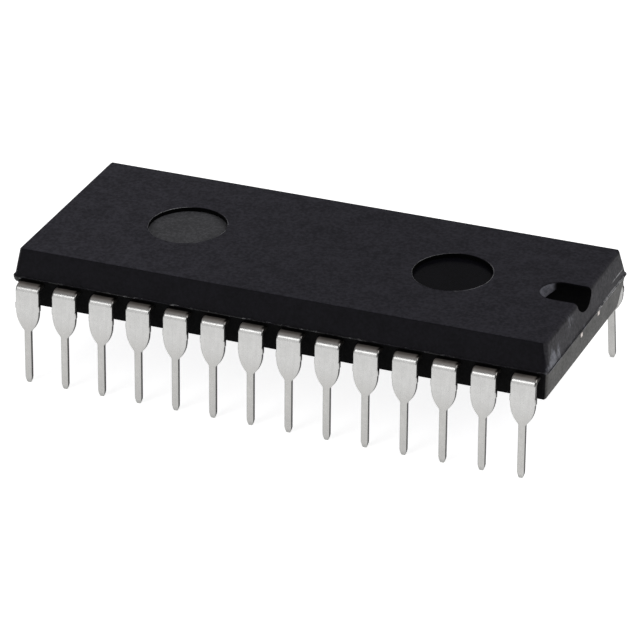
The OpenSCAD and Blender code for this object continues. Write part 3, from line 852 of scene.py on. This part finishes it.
def tin_material():
    """Tin plate. strip_place holds a point's place across the strip, along it from the tip, and
    through it, in millimetres. The pin and its tip are darker than the leg, and the shoulder is warm
    and dull. The sheared sides are painted dark as a reflection of the shade under the body, and the
    strip at the wall and one edge of the shoulder as a reflection of the black body."""
    material, shader = new_material("tin_plate", Metallic=1.0)
    tree = material.node_tree
    strip = add_node(tree, "ShaderNodeAttribute", attribute_name="strip_place").outputs["Vector"]
    parts = add_node(tree, "ShaderNodeSeparateXYZ")
    tree.links.new(strip, parts.inputs["Vector"])
    across = parts.outputs["X"]
    along = parts.outputs["Y"]
    rolled = use_group(tree, ROLLED_STRIP, Place=millimetres(tree)[0], Wave=1.3)
    streaks = use_group(tree, ROLLED_STRIP, Place=strip, Wave=2.5)

    shoulder = ease(tree, along, *SHOULDER_RUN)
    sheared = ease(tree, maths(tree, "ABSOLUTE", facing(tree)[0]), *SHEARED_FACING)
    sheared = all_of(tree, sheared, ease(tree, along, *SHEARED_RUN))
    dark_reflection_edge = all_of(tree, ease(tree, across, *DARK_REFLECTION_ACROSS), ease(tree, along, *DARK_REFLECTION_RUN))
    colour = blend(tree, ease(tree, along, *PIN_RUN), TIN, TIN_PIN)
    for mask, laid_over in (
        (shoulder, TIN_WARM),
        (sheared, TIN_SIDE_DARK_REFLECTION),
        (ease(tree, along, *WALL_REFLECTION_RUN), TIN_DARK_REFLECTION),
        (dark_reflection_edge, TIN_DARK_REFLECTION),
        (ease(tree, along, *TIP_RUN), TIN_TIP),
    ):
        colour = blend(tree, mask, colour, laid_over)
    shade = ease(tree, streaks.outputs["Tone"], *STREAK_SHADES)
    tree.links.new(scaled(tree, colour, shade), shader.inputs["Base Color"])

    roughness = ease(tree, rolled.outputs["Tone"], *TIN_ROUGHNESS)
    roughness = maths(tree, "MULTIPLY_ADD", sheared, SHEARED_DULLNESS, roughness)
    roughness = maths(tree, "MULTIPLY_ADD", shoulder, SHOULDER_DULLNESS, roughness)
    tree.links.new(roughness, shader.inputs["Roughness"])
    add_relief(tree, shader, streaks.outputs["Height"], STREAK_DEPTH)
    return material


TIN_PLATE = tin_material()

# What lies inside the body counts as this far along the strip.
INSIDE_S = LEG_LENGTH + 2


def build_lead(number, draw):
    """Lead number, counted anticlockwise from above from the notched end of the back row. It is made as
    a front-row lead, and a back-row one is that turned half round. Its sides outside the body are
    smooth, and its two end faces and all inside the body are flat."""
    column = (number - 1) % LEADS_PER_ROW - (LEADS_PER_ROW - 1) / 2
    left_stub, right_stub = STUB_OUT * draw.uniform(STUB_LEAST, 1.0, 2)
    outside, outside_faces, strip = lead_outside(left_stub, right_stub)
    tab, tab_faces = keyed_tab()
    inner, inner_faces = finger(column)
    shift = np.array([column * LEAD_PITCH, 0, 0])
    points = np.concatenate([outside + shift, tab + shift, inner])
    tab_faces = [[i + len(outside) for i in face] for face in tab_faces]
    inner_faces = [[i + len(outside) + len(tab) for i in face] for face in inner_faces]
    if number <= LEADS_PER_ROW:
        points = points * (-1, -1, 1)
    lead = mesh_piece(f"formed_lead_{number:02d}", points * MM, outside_faces + tab_faces + inner_faces)
    hidden = len(tab) + len(inner)
    strip = np.concatenate([strip, np.tile([0, INSIDE_S, 0], (hidden, 1))])
    place = lead.data.attributes.new("strip_place", "FLOAT_VECTOR", "POINT")
    place.data.foreach_set("vector", strip.ravel())
    end_faces = 2
    smooth = np.arange(len(lead.data.polygons)) < len(outside_faces) - end_faces
    lead.data.polygons.foreach_set("use_smooth", smooth)
    lead.data.materials.append(TIN_PLATE)
    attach(lead, "root")
    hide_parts(f"lead_{number:02d}")


stub_draw = np.random.default_rng(STUB_SEED)
for number in range(1, 2 * LEADS_PER_ROW + 1):
    build_lead(number, stub_draw)

# Parting flash
# A paper-thin ragged film of compound that squeezed out where the two halves of the
# mould met. It stands a few hundredths of a millimetre out of the walls, torn, and catches
# the light. At the far front corner a torn lump of it hangs down.
FLASH_STEP = 0.05
FLASH_OUT = 0.05
FLASH_LEAST = 0.2
FLASH_SEED = 5
TEAR_LENGTHS = (2.6, 0.5, 0.12)
TEAR_WEIGHTS = (0.9, 0.6, 0.5)
FLASH_CORNER_R = 0.35
FLASH_CORNER_STEPS = 14
FLASH_ROOT = 0.05
FLASH_SET_IN = 0.06
FLASH_SECTION = np.array([
    (-1.0, -0.045), (0.55, -0.03), (1.0, -0.008),
    (1.0, 0.008), (0.55, 0.03), (-1.0, 0.045),
])
FRONT_SHRINK = 0.6
FRONT_Y = (0.8, 1.6)
BACK_CORNER_RUN = (0.2, 0.7)
BACK_CORNER_SHARE = 0.3
LUMP_RUN = (0.2, 0.5)
LUMP_OUT = 0.04
HANG_RUN = (0.25, 0.7)
HANG_DEPTH = 8


def ragged(place, seed, lengths, weights):
    """A sum of smooth random curves over a closed run, one for each length between knots: a cosine
    blend of the random values at the two knots next to each place."""
    draw = np.random.default_rng(seed)
    total = np.zeros(len(place))
    run = place[-1] + place[1]
    for length, weight in zip(lengths, weights):
        count = max(3, int(run / length))
        knots = draw.random(count)
        where = place / run * count
        low = where.astype(int) % count
        mix = 0.5 - 0.5 * np.cos(math.pi * (where - np.floor(where)))
        total += weight * (knots[low] * (1 - mix) + knots[(low + 1) % count] * mix)
    return total


def body_outline():
    """The body's outline at the parting line, as points, outward directions and distances along: from
    each corner's quarter circle a straight side runs to the next."""
    half_x, half_y = BODY_TOP.x - FLASH_CORNER_R, BODY_TOP.y - FLASH_CORNER_R
    centres = np.array([(half_x, half_y), (-half_x, half_y), (-half_x, -half_y), (half_x, -half_y)])
    points, ways = [], []
    for corner in range(4):
        angle = (corner + np.linspace(0, 1, FLASH_CORNER_STEPS)) * math.pi / 2
        way = np.column_stack([np.cos(angle), np.sin(angle)])
        arc = centres[corner] + FLASH_CORNER_R * way
        following = centres[(corner + 1) % 4] + FLASH_CORNER_R * way[-1]
        count = int(np.linalg.norm(following - arc[-1]) / FLASH_STEP)
        side = arc[-1] + (following - arc[-1]) * np.linspace(0, 1, count + 1)[1:-1, None]
        points += [arc, side]
        ways += [way, np.broadcast_to(way[-1], side.shape)]
    points, ways = np.concatenate(points), np.concatenate(ways)
    steps = np.linalg.norm(np.diff(points, axis=0), axis=1)
    return points, ways, np.concatenate([[0], np.cumsum(steps)])


def ring_faces(rings, around):
    """Quads of a closed ring: every section joins the next, and the last one joins the first."""
    i, j = np.meshgrid(np.arange(rings), np.arange(around), indexing="ij")
    after_i, after_j = (i + 1) % rings, (j + 1) % around
    quads = np.stack([i * around + j, after_i * around + j,
                      after_i * around + after_j, i * around + after_j], axis=-1)
    return quads.reshape(-1, 4).tolist()


def flash_reach(outline, place):
    """How far the film stands out at each point, and how many times deeper it hangs below the parting
    line. The reach is FLASH_OUT times a ragged curve. It shrinks on the front part of the notched end
    and at the back corner there, and both grow in the lump at the far front corner."""
    reach = FLASH_OUT * (FLASH_LEAST + ragged(place, FLASH_SEED, TEAR_LENGTHS, TEAR_WEIGHTS))
    at_end = np.interp(outline[:, 0], [BODY_TOP.x - FLASH_CORNER_R, BODY_TOP.x], [0, 1])
    reach *= 1 - FRONT_SHRINK * at_end * np.interp(outline[:, 1], FRONT_Y, [1, 0])
    from_back_corner = np.linalg.norm(outline - (BODY_TOP.x, BODY_TOP.y), axis=1)
    reach *= np.interp(from_back_corner, BACK_CORNER_RUN, [BACK_CORNER_SHARE, 1])
    from_far_corner = np.linalg.norm(outline - (BODY_LOW.x, BODY_LOW.y), axis=1)
    reach += np.interp(from_far_corner, LUMP_RUN, [LUMP_OUT, 0])
    hang = 1 + np.interp(from_far_corner, HANG_RUN, [HANG_DEPTH, 0])
    return reach, hang


def build_flash(material):
    """The film: FLASH_SECTION, as steps out and up, carried round the outline. A step out is a share
    of the reach, its inner edge stays just inside the wall, and the steps down are deepened by hang."""
    outline, ways, place = body_outline()
    reach, hang = flash_reach(outline, place)
    out_step, up_step = FLASH_SECTION.T
    out = np.where(out_step < 0, out_step * FLASH_ROOT, out_step * reach[:, None]) - FLASH_SET_IN
    points = np.empty((len(outline), len(out_step), 3))
    points[..., :2] = outline[:, None, :] + ways[:, None, :] * out[..., None]
    points[..., 2] = PARTING_Z + np.where(up_step < 0, up_step * hang[:, None], up_step)
    faces = ring_faces(len(outline), len(out_step))
    film = mesh_piece("parting_flash", points.reshape(-1, 3) * MM, faces)
    film.data.materials.append(material)
    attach(film, "root")


# Painted shade and light: the film is dark along the long sides and grey at the notched end, like the
# walls beside it.
TORN_SHADED = (0.006, 0.006, 0.007, 1)
TORN_END_LIT = (0.055, 0.055, 0.056, 1)
TORN_SIDE = (0.24, 0.24, 0.25, 1)
TORN_BRIGHT = (0.45, 0.45, 0.46, 1)

# Pairs and fours as above, in the noise, along the body or across it.
FLECK_SCALE = 2.6
FLECK_NOISE = (0.56, 0.62)
FLECK_FADES = ((-13.0, -6.0, 0.25, 1.0), (7.0, 2.0, 0.25, 1.0))
TORN_SCALE = 1.6
TORN_NOISE = (0.4, 0.52)
TORN_BACK = (1.2, 2.4, 0.1, 1.0)
TORN_END_RUN = (BODY_TOP.x - 0.5, BODY_TOP.x - 0.1)


def torn_epoxy_material():
    """Torn compound. It is painted dark as shade, with pale flecks that thin out towards both ends, and
    at the notched end it is painted a lit grey, with bright streaks, most of them at the back."""
    material, shader = new_material("torn_compound", IOR=1.5, Roughness=0.6)
    tree = material.node_tree
    place, x, y = millimetres(tree)[:3]
    flecks = ease(tree, noise(tree, place, FLECK_SCALE, roughness=0.7), *FLECK_NOISE)
    for fade in FLECK_FADES:
        flecks = all_of(tree, flecks, ease(tree, x, *fade))
    streaks = ease(tree, noise(tree, place, TORN_SCALE, detail=4.0, roughness=0.7), *TORN_NOISE)
    streaks = all_of(tree, ease(tree, y, *TORN_BACK), streaks)
    sides = blend(tree, flecks, TORN_SHADED, TORN_SIDE)
    end = blend(tree, streaks, TORN_END_LIT, TORN_BRIGHT)
    colour = blend(tree, ease(tree, x, *TORN_END_RUN), sides, end)
    tree.links.new(colour, shader.inputs["Base Color"])
    return material


build_flash(torn_epoxy_material())

# Rims of the ejector marks
# Each ejector pin pressed a low uneven burr of compound up round its edge. It is part of
# the body, and it is made here because it is only a few hundredths of a millimetre high.
RIM_SECTION = np.array([(0.07, -0.012), (0.02, 0.8), (-0.004, 1.0), (-0.004, -0.06)])
RIM_H = 0.045
RIM_STEPS = 180
RIM_LENGTHS = (3.0, 0.4)
RIM_WEIGHTS = (0.7, 0.4)
FAR_RIM_SEED = 11
NOTCH_RIM_SEED = 12


def build_mark_rim(name, centre_x, seed):
    """RIM_SECTION, as steps out from the mark's wall and up, carried round the mark. Steps up above
    zero are shares of the burr's height, which is RIM_H times a ragged curve."""
    angle = np.linspace(0, 2 * math.pi, RIM_STEPS, endpoint=False)
    height = RIM_H * ragged(angle * MARK_R, seed, RIM_LENGTHS, RIM_WEIGHTS)
    out_step, up_step = RIM_SECTION.T
    radius = MARK_R + out_step[None, :] + np.zeros((RIM_STEPS, 1))
    up = np.where(up_step > 0, up_step * height[:, None], up_step)
    points = np.stack([centre_x + radius * np.cos(angle)[:, None],
                       radius * np.sin(angle)[:, None], BODY_TOP.z + up], axis=-1)
    rim = mesh_piece(name, points.reshape(-1, 3) * MM, ring_faces(RIM_STEPS, len(out_step)))
    rim.data.materials.append(EPOXY)
    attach(rim, "root")


build_mark_rim("far_mark_rim", -MARK_X, FAR_RIM_SEED)
build_mark_rim("notch_mark_rim", MARK_X, NOTCH_RIM_SEED)

# Die pad and its bar
# Stamped from the same strip as the leads and pressed down under the die. The bar that
# held it in the strip was sheared off flush with both ends of the body, where the cut
# ends of its two prongs show as bright spots.
COPPER = (0.60, 0.30, 0.17, 1)
CUT_END = (0.50, 0.45, 0.42, 1)
CUT_X = BODY_TOP.x - 0.3

# Two limits of the metal's tone, and the shade or the roughness at each of them.
METAL_SHADES = (0.3, 0.7, 0.85, 1.12)
METAL_ROUGHNESS = (0.3, 0.7, 0.25, 0.4)
METAL_DEPTH = 0.003


def strip_metal(name, colour, cut_from=None):
    """Rolled or drawn metal. Past cut_from along the body it has the colour of a bright cut."""
    material, shader = new_material(name, Metallic=1.0)
    tree = material.node_tree
    place, x = millimetres(tree)[:2]
    rolled = use_group(tree, ROLLED_STRIP, Place=place, Wave=2.0)
    tone = rolled.outputs["Tone"]
    ground = colour[:3]
    if cut_from is not None:
        cut = maths(tree, "GREATER_THAN", maths(tree, "ABSOLUTE", x), cut_from)
        ground = blend(tree, cut, colour, CUT_END)
    tree.links.new(scaled(tree, ground, ease(tree, tone, *METAL_SHADES)), shader.inputs["Base Color"])
    tree.links.new(ease(tree, tone, *METAL_ROUGHNESS), shader.inputs["Roughness"])
    add_relief(tree, shader, rolled.outputs["Height"], METAL_DEPTH)
    return material


dress_node("die_pad", strip_metal("rolled_copper", COPPER, CUT_X))

# Bonding layer
# A few hundredths of a millimetre of silver-filled adhesive, dispensed on the pad and
# cured under the die.
SILVER_PASTE = (0.46, 0.46, 0.45, 1)
SILVER_FLAKE = (0.72, 0.72, 0.71, 1)
FLAKE_SCALE = 18.0
FLAKE_NOISE = (0.5, 0.62)
FLAKE_METAL = 0.7


def paste_material():
    """Dull grey adhesive with paler flakes."""
    material, shader = new_material("silver_paste", Roughness=0.5)
    tree = material.node_tree
    flakes = ease(tree, noise(tree, millimetres(tree)[0], FLAKE_SCALE, detail=2.0), *FLAKE_NOISE)
    tree.links.new(blend(tree, flakes, SILVER_PASTE, SILVER_FLAKE), shader.inputs["Base Color"])
    tree.links.new(maths(tree, "MULTIPLY", flakes, FLAKE_METAL), shader.inputs["Metallic"])
    return material


dress_node("die_attach", paste_material())

# Silicon die
# The chip itself, sawn from a wafer: a polished, faintly blue-grey block whose surface
# shows fields of fine circuitry.
SILICON_FIELD = (0.10, 0.115, 0.15, 1)
SILICON_LINE = (0.24, 0.25, 0.27, 1)
SMALL_LINES = 0.5


def silicon_material():
    """Polished silicon with paler lines round fields of two sizes, the small ones' fainter."""
    material, shader = new_material("polished_silicon", Roughness=0.12, Metallic=0.6)
    tree = material.node_tree
    place = millimetres(tree)[0]
    large = add_node(tree, "ShaderNodeTexBrick", {"Scale": 2.6, "Mortar Size": 0.03})
    small = add_node(tree, "ShaderNodeTexBrick", {"Scale": 13.0, "Mortar Size": 0.04})
    for bricks in (large, small):
        tree.links.new(place, bricks.inputs["Vector"])
    faint = maths(tree, "MULTIPLY", small.outputs["Fac"], SMALL_LINES)
    lines = maths(tree, "MAXIMUM", large.outputs["Fac"], faint)
    tree.links.new(blend(tree, lines, SILICON_FIELD, SILICON_LINE), shader.inputs["Base Color"])
    return material


dress_node("silicon_die", silicon_material())

# Bond wires
# Drawn gold, thinner than a hair, welded as a ball on the die and as a stitch on the
# finger.
GOLD = (0.92, 0.66, 0.22, 1)
GOLD_WIRE = strip_metal("drawn_gold", GOLD)
for number in range(1, 2 * LEADS_PER_ROW + 1):
    dress_node(f"bond_wire_{number:02d}", GOLD_WIRE)
